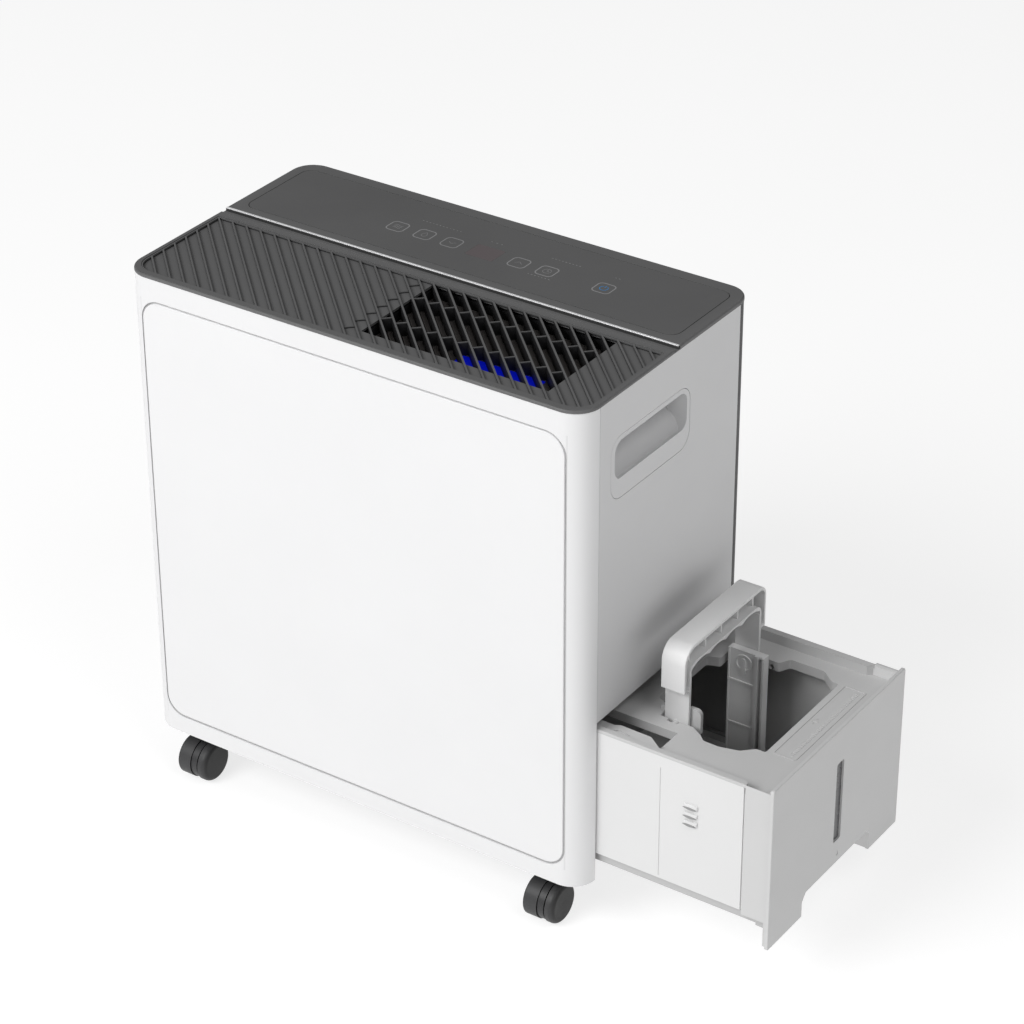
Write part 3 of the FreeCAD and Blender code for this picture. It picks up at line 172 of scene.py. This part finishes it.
def plastic(name, colour, rough=0.4, grain=900.0, depth=0.00004, spread=0.04, edge=0.0, shade_regions=(),
            flank_shade=None):
    """Moulded plastic: slow tone drift, fine grain, uneven gloss and slightly paler worn edges.

    The last two arguments paint shade: darker regions, and a darker colour for the faces that look along
    the part's X axis.
    """
    n = Nodes(name)
    n.set(IOR=PLASTIC_IOR)
    slow = n.noise(9.0, 4.0, 0.6)
    tone = n.tint(n.ranged(slow, 0.0, 1.0), scaled(colour, 1 - spread), scaled(colour, 1 + spread))
    if edge > 0:
        worn = n.add("ShaderNodeNewGeometry").outputs["Pointiness"]
        worn = n.ranged(worn, 0.0, edge, 0.505, 0.56)
        tone = n.blend(worn, tone, scaled(colour, 2.2))
    if flank_shade:
        # Painted shade on the faces that look along the part's X axis
        facing = n.add("ShaderNodeSeparateXYZ")
        n.link(n.add("ShaderNodeTexCoord").outputs["Normal"], facing.inputs[0])
        side = n.ranged(n.math("ABSOLUTE", facing.outputs[0]), 0.0, 1.0, 0.6, 0.95)
        tone = n.blend(side, tone, flank_shade)
    n.link(n.paint_shade(tone, shade_regions), n.shader.inputs["Base Color"])
    n.link(n.ranged(n.noise(35.0, 5.0, 0.6), rough - 0.05, rough + 0.06), n.shader.inputs["Roughness"])
    n.bump(n.noise(grain, 2.0, 0.6), depth)
    return n.mat


def metal(name, colour, rough=0.3, brushed=(1, 1, 1), scale=700.0, depth=0.00002, metallic=1.0,
          shade_regions=()):
    """Metal with drawn or brushed marks along the axis whose stretch is smallest."""
    n = Nodes(name)
    n.set(Metallic=metallic)
    marks = n.noise(scale, 3.0, 0.7, brushed)
    tone = n.tint(n.ranged(n.noise(14.0), 0, 1), scaled(colour, 0.9), scaled(colour, 1.08))
    n.link(n.paint_shade(tone, shade_regions), n.shader.inputs["Base Color"])
    n.link(n.ranged(marks, rough - 0.08, rough + 0.1), n.shader.inputs["Roughness"])
    n.bump(marks, depth)
    return n.mat


def woven(name, colour, pitch):
    """Open square weave with gaps between the threads."""
    n = Nodes(name)
    waves = []
    for axis in ("X", "Z"):
        wave = n.add("ShaderNodeTexWave", wave_type="BANDS", bands_direction=axis, wave_profile="SIN")
        wave.inputs["Scale"].default_value = WAVE_SPAN / pitch
        n.link(n.coord, wave.inputs["Vector"])
        waves.append(wave.outputs["Fac"])
    height = n.math("MAXIMUM", *waves)
    n.link(n.tint(n.ranged(height, 0, 1, 0.5, 0.9), scaled(colour, 0.25), colour),
           n.shader.inputs["Base Color"])
    n.link(n.ranged(n.noise(60.0), 0.7, 0.9), n.shader.inputs["Roughness"])
    n.bump(height, 0.0003)
    return n.mat


def glassy(name, colour, rough, alpha):
    """Tinted clear plastic."""
    n = Nodes(name)
    n.set(Alpha=alpha, IOR=CLEAR_IOR)
    n.link(n.tint(n.ranged(n.noise(22.0), 0, 1), scaled(colour, 0.88), colour),
           n.shader.inputs["Base Color"])
    n.link(n.ranged(n.noise(120.0), rough - 0.03, rough + 0.06), n.shader.inputs["Roughness"])
    n.bump(n.noise(300.0), 0.00002)
    return n.mat


def lit(name, colour, strength):
    """A glowing lens with an uneven tone."""
    n = Nodes(name)
    n.link(n.tint(n.ranged(n.noise(200.0), 0, 1), scaled(colour, 0.6), colour),
           n.shader.inputs["Base Color"])
    n.shader.inputs["Emission Color"].default_value = (*colour, 1)
    n.set(Emission_Strength=strength, Roughness=0.35)
    return n.mat


LID_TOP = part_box("top_ribs")[1].z
TUB_LOW, TUB_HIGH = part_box("bucket_tub")
COLUMN_LOW, COLUMN_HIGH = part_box("guide_column")
# Thickness of the tub's wall that keeps its outer colour, clear of the painted shade inside the tub
WALL = 1.3 * MM
# Top face of the bucket's cover plate
DECK_TOP = 0.166
# Height where the foot band of the tub ends
TUB_SHOULDER = 0.0675
# How far the finger ridges stand out from the front of the tub
RIDGE_RISE = 1.7 * MM
# Span over which a place fades into its painted shade
THIN = 0.1 * MM
# Places painted darker as shade, as (spans, colour), for the shade regions of plastic() and metal()
# Painted shade: the ribs' side walls turn near black below their tops
RIB_SIDE_SHADE = ([(2, LID_TOP - 0.5 * MM, LID_TOP - 1.5 * MM)], (0.012, 0.012, 0.013))
# Painted shade inside the tub, between its walls and below the deck, fading out past the guide column
# towards +X
TUB_INSIDE_SHADE = ([(0, TUB_LOW.x + WALL, TUB_LOW.x + WALL + THIN),
               (0, TUB_HIGH.x - WALL, TUB_HIGH.x - WALL - THIN),
               (1, TUB_LOW.y + RIDGE_RISE + WALL, TUB_LOW.y + RIDGE_RISE + WALL + THIN),
               (1, TUB_HIGH.y - WALL, TUB_HIGH.y - WALL - THIN),
               (2, DECK_TOP + 1.5 * MM, DECK_TOP + 0.5 * MM),
               (2, TUB_SHOULDER, TUB_SHOULDER + THIN),
               (0, COLUMN_HIGH.x + 5 * MM, COLUMN_LOW.x)], (0.24, 0.24, 0.241))
# Painted shade on the set-back foot band of the tub, below its shoulder
TUB_FOOT_SHADE = ([(2, TUB_SHOULDER + THIN, TUB_SHOULDER)], (0.50, 0.50, 0.50))
# Painted shade on the guide column, darker downwards from 45 mm below its top
COLUMN_SHADE = ([(2, COLUMN_HIGH.z - 45 * MM, COLUMN_LOW.z)], (0.24, 0.24, 0.24))
INLAY_LOW, INLAY_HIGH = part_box("front_inlay")
# Margin round the front inlay that takes in the joint beside it
GROOVE = 1.8 * MM
# Painted shade in the joint round the front inlay, on faces set back behind its front
INLAY_GROOVE_SHADE = ([(0, INLAY_LOW.x - GROOVE - THIN, INLAY_LOW.x - GROOVE),
                 (0, INLAY_HIGH.x + GROOVE + THIN, INLAY_HIGH.x + GROOVE),
                 (2, INLAY_LOW.z - GROOVE - THIN, INLAY_LOW.z - GROOVE),
                 (2, INLAY_HIGH.z + GROOVE + THIN, INLAY_HIGH.z + GROOVE),
                 (1, INLAY_LOW.y + 0.5 * MM, INLAY_LOW.y + 1.5 * MM)], (0.52, 0.52, 0.522))
STRIP_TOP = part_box("trim_strip")[1].z
# Painted shade: the trim strip turns near black below its top edge
STRIP_FACE_SHADE = ([(2, STRIP_TOP - 0.5 * MM, STRIP_TOP - 0.9 * MM)], (0.05, 0.05, 0.05))

WHITE = (0.775, 0.775, 0.78)
CHARCOAL = (0.116, 0.116, 0.117)
LOOKS = {
    "front_white": plastic("front_white", WHITE, 0.42, 700, 0.00002, 0.01, shade_regions=(INLAY_GROOVE_SHADE,)),
    "inlay_white": plastic("inlay_white", (0.785, 0.785, 0.79), 0.36, 500, 0.00002, 0.01),
    # The sides are a darker white than the front: painted shade on the faces turned from the key light
    "side_white": plastic("side_white", (0.655, 0.655, 0.66), 0.5, 1100, 0.00004, 0.015),
    "lid_charcoal": plastic("lid_charcoal", CHARCOAL, 0.5, 1500, 0.00005, 0.05, 0.1),
    "rib_charcoal": plastic("rib_charcoal", CHARCOAL, 0.52, 1500, 0.00005, 0.05, 0.12,
                            shade_regions=(RIB_SIDE_SHADE,)),
    "panel_charcoal": plastic("panel_charcoal", (0.112, 0.112, 0.113), 0.42, 1800, 0.00003, 0.05),
    "rear_charcoal": plastic("rear_charcoal", (0.06, 0.06, 0.062), 0.55, 1000, 0.00008, 0.06),
    "trim_silver": metal("trim_silver", (0.84, 0.84, 0.85), 0.38, (0.02, 1, 1), 300.0, 0.000002, 0.3,
                         shade_regions=(STRIP_FACE_SHADE,)),
    "key_print": plastic("key_print", (0.27, 0.27, 0.275), 0.5, 2500, 0.00001, 0.12),
    "display_smoke": plastic("display_smoke", (0.122, 0.104, 0.108), 0.3, 900, 0.00001, 0.06),
    # The casters' faces that look along X are painted darker, as shade
    "caster_black": plastic("caster_black", (0.022, 0.022, 0.023), 0.45, 1300, 0.00006, 0.1, 0.3,
                            flank_shade=(0.006, 0.006, 0.006)),
    "caster_tread": plastic("caster_tread", (0.032, 0.032, 0.033), 0.5, 900, 0.00008, 0.12, 0.2,
                            flank_shade=(0.006, 0.006, 0.006)),
    # A darker white than the tub's, on the bucket's end panel: painted shade on the face turned from the
    # key light
    "bucket_white": plastic("bucket_white", (0.60, 0.60, 0.60), 0.45, 900, 0.00003, 0.015),
    "bucket_deck": plastic("bucket_deck", (0.56, 0.56, 0.56), 0.5, 1100, 0.00005, 0.02),
    "handle_white": plastic("handle_white", (0.80, 0.80, 0.80), 0.46, 1000, 0.00004, 0.02),
    "level_clear": glassy("level_clear", (0.13, 0.13, 0.135), 0.25, 0.9),
    "pin_white": plastic("pin_white", (0.60, 0.60, 0.60), 0.4, 1200, 0.00003, 0.04),
    "float_white": plastic("float_white", (0.60, 0.60, 0.60), 0.5, 1200, 0.00004, 0.05),
    "base_grey": plastic("base_grey", (0.20, 0.20, 0.205), 0.6, 800, 0.0001, 0.1),
    "filter_black": plastic("filter_black", (0.05, 0.05, 0.052), 0.55, 1200, 0.00008, 0.1, 0.2),
    "mesh_grey": woven("mesh_grey", (0.12, 0.12, 0.125), 0.0012),
    "duct_black": plastic("duct_black", (0.008, 0.008, 0.009), 0.7, 700, 0.0001, 0.2),
    "vane_grey": plastic("vane_grey", (0.17, 0.155, 0.148), 0.6, 900, 0.00006, 0.12),
    "fin_aluminium": metal("fin_aluminium", (0.75, 0.76, 0.78), 0.35),
    "copper": metal("copper", (0.72, 0.38, 0.24), 0.3, (1, 1, 0.1)),
    "steel_black": plastic("steel_black", (0.02, 0.02, 0.02), 0.25, 200, 0.0001, 0.2),
    "motor_steel": metal("motor_steel", (0.45, 0.45, 0.46), 0.35),
    "grommet_rubber": plastic("grommet_rubber", (0.03, 0.03, 0.03), 0.8, 600, 0.0002, 0.2),
    "screw_steel": metal("screw_steel", (0.18, 0.18, 0.185), 0.4),
    "board_green": plastic("board_green", (0.03, 0.20, 0.08), 0.35, 400, 0.0001, 0.2),
    "can_metal": metal("can_metal", (0.6, 0.6, 0.62), 0.3, (1, 1, 0.1)),
    "lamp_blue": lit("lamp_blue", (0.0, 0.003, 0.24), 1.0),
    "foam_grey": plastic("foam_grey", (0.5, 0.5, 0.5), 0.8, 300, 0.0003, 0.08),
    # The tub's own copy of its white, with painted shade inside and on its foot band
    "tub_white": plastic("tub_white", (0.72, 0.72, 0.72), 0.45, 900, 0.00003, 0.015,
                         shade_regions=(TUB_INSIDE_SHADE, TUB_FOOT_SHADE)),
    # The guide column's own brighter copy of the deck grey: painted light at its top, painted shade
    # lower down
    "column_grey": plastic("column_grey", (0.86, 0.86, 0.86), 0.5, 1100, 0.00005, 0.03,
                           shade_regions=(COLUMN_SHADE,)),
    # Painted shadow under the finger ridges
    "grip_shade": plastic("grip_shade", (0.28, 0.28, 0.28), 0.6, 1200, 0.00002, 0.12),
    "power_blue": lit("power_blue", (0.03, 0.18, 0.40), 0.35),
}
# The tub and the guide column take their own copies of their looks, with painted shade
OWN_LOOK = {"bucket_tub": "tub_white", "guide_column": "column_grey"}


def dress(obj, look):
    """Gives an object one look, in every material slot it has."""
    if not obj.data.materials:
        obj.data.materials.append(LOOKS[look])
    for i in range(len(obj.data.materials)):
        obj.data.materials[i] = LOOKS[look]
    for slot in obj.material_slots:
        slot.material = LOOKS[look]


for part in frame["record"]["subparts"]:
    dress(frame["nodes"][part["node"]], OWN_LOOK.get(part["node"], part["material_slot"]))


# ---------------------------------------------------------------- printed and moulded marks, and painted shadows

def prism(bm, outline, low, high):
    """A closed flat solid with the given outline, from low to high."""
    bottom = [bm.verts.new((x, y, low)) for x, y in outline]
    top = [bm.verts.new((x, y, high)) for x, y in outline]
    bm.faces.new(list(reversed(bottom)))
    bm.faces.new(top)
    for i in range(len(outline)):
        j = (i + 1) % len(outline)
        bm.faces.new((bottom[i], bottom[j], top[j], top[i]))


def stroke(bm, points, width, low, high, closed=False):
    """A line of constant width along a path, as a thin closed solid with mitred corners."""
    count = len(points)
    left, right = [], []
    for i, (x, y) in enumerate(points):
        before = points[i - 1] if closed or i > 0 else points[i]
        after = points[(i + 1) % count] if closed or i < count - 1 else points[i]
        sides = []
        for start, end in ((before, (x, y)), ((x, y), after)):
            run = Vector((end[0] - start[0], end[1] - start[1]))
            if run.length > 0:
                sides.append(Vector((-run.y, run.x)).normalized())
        normal = sum(sides, Vector((0, 0))).normalized()
        reach = width / 2 / max(0.4, normal.dot(sides[0]))
        left.append((x + normal.x * reach, y + normal.y * reach))
        right.append((x - normal.x * reach, y - normal.y * reach))
    if not closed:
        prism(bm, right + left[::-1], low, high)
        return
    rings = [[bm.verts.new((x, y, z)) for x, y in side]
             for side, z in ((left, low), (right, low), (right, high), (left, high))]
    for i in range(count):
        j = (i + 1) % count
        for k in range(4):
            a, b = rings[k], rings[(k + 1) % 4]
            bm.faces.new((a[i], a[j], b[j], b[i]))


def arc(cx, cy, radius, start, end, steps):
    """Points of an arc, with its angles in degrees anticlockwise from +X."""
    turns = [math.radians(start + (end - start) * i / steps) for i in range(steps + 1)]
    return [(cx + radius * math.cos(t), cy + radius * math.sin(t)) for t in turns]


def piece(name, bm, body, look):
    """Turns a finished bmesh into a named piece on a body."""
    bmesh.ops.recalc_face_normals(bm, faces=bm.faces)
    mesh = bpy.data.meshes.new(name)
    bm.to_mesh(mesh)
    bm.free()
    obj = bpy.data.objects.new(name, mesh)
    bpy.context.scene.collection.objects.link(obj)
    dress(obj, look)
    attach(obj, body)


# Width of a printed line, and the heights between which it lies
PRINT = 0.35 * MM
PANEL_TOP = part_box("control_panel")[1].z
PRINT_LOW = PANEL_TOP - 0.02 * MM
PRINT_HIGH = PANEL_TOP + 0.04 * MM
KEYS_LOW, KEYS_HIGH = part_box("touch_keys")
KEY_HALF = (KEYS_HIGH.y - KEYS_LOW.y) / 2
KEY_ROW = (KEYS_LOW.y + KEYS_HIGH.y) / 2
# Distance of each key from the first one
AIR_KEY, DROP_KEY, DOWN_KEY, UP_KEY, CLOCK_KEY, POWER_KEY = (
    KEYS_LOW.x + KEY_HALF + step * MM for step in (0, 24, 48, 106.5, 130.5, 178.5))


def printed(bm, points, closed=False, width=PRINT):
    stroke(bm, points, width, PRINT_LOW, PRINT_HIGH, closed)


def key_icons():
    """Grey pictograms in five of the touch keys."""
    bm = bmesh.new()
    for row in (-2.0, 0.0, 2.0):
        wave = [(AIR_KEY + (i / 12 - 0.5) * 7 * MM,
                 KEY_ROW + (row + 0.6 * math.sin(i / 12 * math.tau)) * MM) for i in range(13)]
        printed(bm, wave)
    bowl = arc(DROP_KEY, KEY_ROW - 0.8 * MM, 2.2 * MM, 150, 390, 14)
    printed(bm, [(DROP_KEY, KEY_ROW + 3.4 * MM)] + bowl, closed=True)
    for centre, tip in ((DOWN_KEY, -1), (UP_KEY, 1)):
        printed(bm, [(centre - 3 * MM, KEY_ROW - tip * 1.2 * MM), (centre, KEY_ROW + tip * 1.4 * MM),
                     (centre + 3 * MM, KEY_ROW - tip * 1.2 * MM)])
    printed(bm, arc(CLOCK_KEY, KEY_ROW, 3.2 * MM, 0, 345, 23), closed=True)
    printed(bm, [(CLOCK_KEY, KEY_ROW + 2.2 * MM), (CLOCK_KEY, KEY_ROW), (CLOCK_KEY + 1.6 * MM, KEY_ROW)])
    piece("key_icons", bm, "cabinet", "key_print")


def power_icon():
    """Blue lit power sign in the last key."""
    bm = bmesh.new()
    printed(bm, arc(POWER_KEY, KEY_ROW, 3.1 * MM, 120, 420, 24), width=0.6 * MM)
    printed(bm, [(POWER_KEY, KEY_ROW + 3.9 * MM), (POWER_KEY, KEY_ROW + 1.0 * MM)], width=0.6 * MM)
    piece("power_icon", bm, "cabinet", "power_blue")


def indicator_marks():
    """Rows of small printed dashes beside the keys, in place of words."""
    bm = bmesh.new()
    # Start, distance from the row of keys, number of dashes and their pitch
    rows = (((DROP_KEY + DOWN_KEY) / 2 - 26.0 * MM, 18.4 * MM, 12, 3.0 * MM),
            (CLOCK_KEY - 8 * MM, 19.4 * MM, 9, 2.9 * MM),
            (CLOCK_KEY - 9 * MM, -10.4 * MM, 7, 2.9 * MM),
            ((DOWN_KEY + UP_KEY) / 2 - 6 * MM, 17.4 * MM, 3, 4.4 * MM),
            (POWER_KEY - 1.5 * MM, 18.2 * MM, 2, 3.0 * MM))
    for start, rise, count, pitch in rows:
        for i in range(count):
            x = start + i * pitch
            long = (0.9 + 0.5 * random.random()) * MM
            printed(bm, [(x - long / 2, KEY_ROW + rise), (x + long / 2, KEY_ROW + rise)],
                    width=0.5 * MM)
    piece("indicator_marks", bm, "cabinet", "key_print")


def deck_marks():
    """Raised lift sign and a row of raised dashes in the frame on the bucket cover."""
    bm = bmesh.new()
    floor = DECK_TOP - 0.1 * MM
    top = DECK_TOP + 0.45 * MM
    # Middle of the moulded frame on the deck
    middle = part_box("bucket_end_panel")[1].x - 24.3 * MM
    tip = middle - 6.6 * MM
    stroke(bm, [(tip + 2.8 * MM, 12 * MM), (tip, 15.5 * MM), (tip + 2.8 * MM, 19 * MM)],
           0.7 * MM, floor, top)
    stroke(bm, [(tip + 0.6 * MM, 15.5 * MM), (tip + 5.0 * MM, 15.5 * MM)], 0.7 * MM, floor, top)
    x = middle + 3.4 * MM
    for i in range(42):
        y = (-30 + i * 2.25) * MM
        half = (1.2 + 0.6 * random.random()) * MM
        stroke(bm, [(x - half, y), (x + half, y)], 1.0 * MM, floor, top)
    piece("deck_marks", bm, "bucket", "bucket_deck")


def grip_shades():
    """Painted shadows under the three finger ridges on the front of the bucket: dark leaf-shaped sheets.

    Each joins its ridge along its top and hangs clear of the tub below that. They are built lying
    on their backs and then stood up, so heights here run towards -Y.
    """
    bm = bmesh.new()
    face = -TUB_LOW.y
    middle = CASING_X + 273.2 * MM
    for height in (137.9, 130.7, 123.7):
        upper = [(middle + (i / 12 - 0.5) * 11 * MM,
                  (height + 1.1 * math.sin(i / 12 * math.pi)) * MM) for i in range(13)]
        lower = [(middle + (0.5 - i / 12) * 11 * MM,
                  (height - 1.1 * math.sin(i / 12 * math.pi)) * MM) for i in range(1, 12)]
        prism(bm, upper + lower, face - 0.4 * MM, face + 0.06 * MM)
    bm.transform(Matrix.Rotation(math.radians(90), 4, "X"))
    piece("grip_shades", bm, "bucket", "grip_shade")


# ---------------------------------------------------------------- camera and light

LENS_MM = 117.87
EYE = (1.2414 + CASING_X, -1.7186, 1.4964)
# Turn to the left of +Y, tilt down and roll of the camera, in degrees
YAW, PITCH, ROLL = 34.41, 30.62, -0.24


def camera():
    """A long lens from the front right and above."""
    data = bpy.data.cameras.new("camera")
    data.lens = LENS_MM
    data.sensor_width = 36.0
    data.clip_end = 50
    cam = bpy.data.objects.new("camera", data)
    bpy.context.scene.collection.objects.link(cam)
    yaw, pitch, roll = (math.radians(a) for a in (YAW, PITCH, ROLL))
    ahead = Vector((-math.sin(yaw), math.cos(yaw), 0))
    right = Vector((math.cos(yaw), math.sin(yaw), 0))
    up = Vector((0, 0, 1))
    look = ahead * math.cos(pitch) - up * math.sin(pitch)
    over = up * math.cos(pitch) + ahead * math.sin(pitch)
    side = right * math.cos(roll) + over * math.sin(roll)
    top = over * math.cos(roll) - right * math.sin(roll)
    turn = Matrix((side, top, -look)).transposed().to_4x4()
    cam.matrix_world = Matrix.Translation(EYE) @ turn
    bpy.context.scene.camera = cam


def area_light(name, place, aim, size, power):
    data = bpy.data.lights.new(name, "AREA")
    data.shape = "DISK"
    data.size = size
    data.energy = power
    lamp = bpy.data.objects.new(name, data)
    bpy.context.scene.collection.objects.link(lamp)
    lamp.location = place
    lamp.rotation_mode = "QUATERNION"
    lamp.rotation_quaternion = (Vector(aim) - Vector(place)).to_track_quat("-Z", "Y")


WORLD_LIGHT = 0.20
FLOOR_GLOW = 0.74


def studio():
    """Even white surroundings, a large soft key, a weaker fill from the right and a pale floor."""
    world = bpy.data.worlds.new("studio")
    bpy.context.scene.world = world
    world.use_nodes = True
    tree = world.node_tree
    back = tree.nodes["Background"]
    back.inputs["Color"].default_value = (1, 1, 1, 1)
    back.inputs["Strength"].default_value = WORLD_LIGHT
    white = tree.nodes.new("ShaderNodeBackground")
    white.inputs["Strength"].default_value = 1.0
    white.inputs["Color"].default_value = (1, 1, 1, 1)
    # The camera sees the surroundings brighter than the part is lit by them
    ray = tree.nodes.new("ShaderNodeLightPath")
    mix = tree.nodes.new("ShaderNodeMixShader")
    tree.links.new(ray.outputs["Is Camera Ray"], mix.inputs[0])
    tree.links.new(back.outputs[0], mix.inputs[1])
    tree.links.new(white.outputs[0], mix.inputs[2])
    tree.links.new(mix.outputs[0], tree.nodes["World Output"].inputs["Surface"])
    area_light("key", (-1.05, -3.1, 2.9), (0, 0, 0.2), 2.2, 122)
    area_light("fill", (2.3, -0.9, 3.3), (0.2, 0, 0.2), 1.8, 30)
    bm = bmesh.new()
    bmesh.ops.create_grid(bm, x_segments=8, y_segments=8, size=9)
    mesh = bpy.data.meshes.new("floor")
    bm.to_mesh(mesh)
    bm.free()
    floor = bpy.data.objects.new("floor", mesh)
    bpy.context.scene.collection.objects.link(floor)
    n = Nodes("floor_white")
    n.set(Roughness=0.9, Emission_Strength=FLOOR_GLOW)
    n.shader.inputs["Emission Color"].default_value = (1, 1, 1, 1)
    n.link(n.tint(n.noise(2.0), (0.34, 0.34, 0.34), (0.37, 0.37, 0.37)), n.shader.inputs["Base Color"])
    mesh.materials.append(n.mat)


key_icons()
power_icon()
indicator_marks()
deck_marks()
grip_shades()
camera()
studio()
bpy.context.scene.view_settings.view_transform = "Standard"
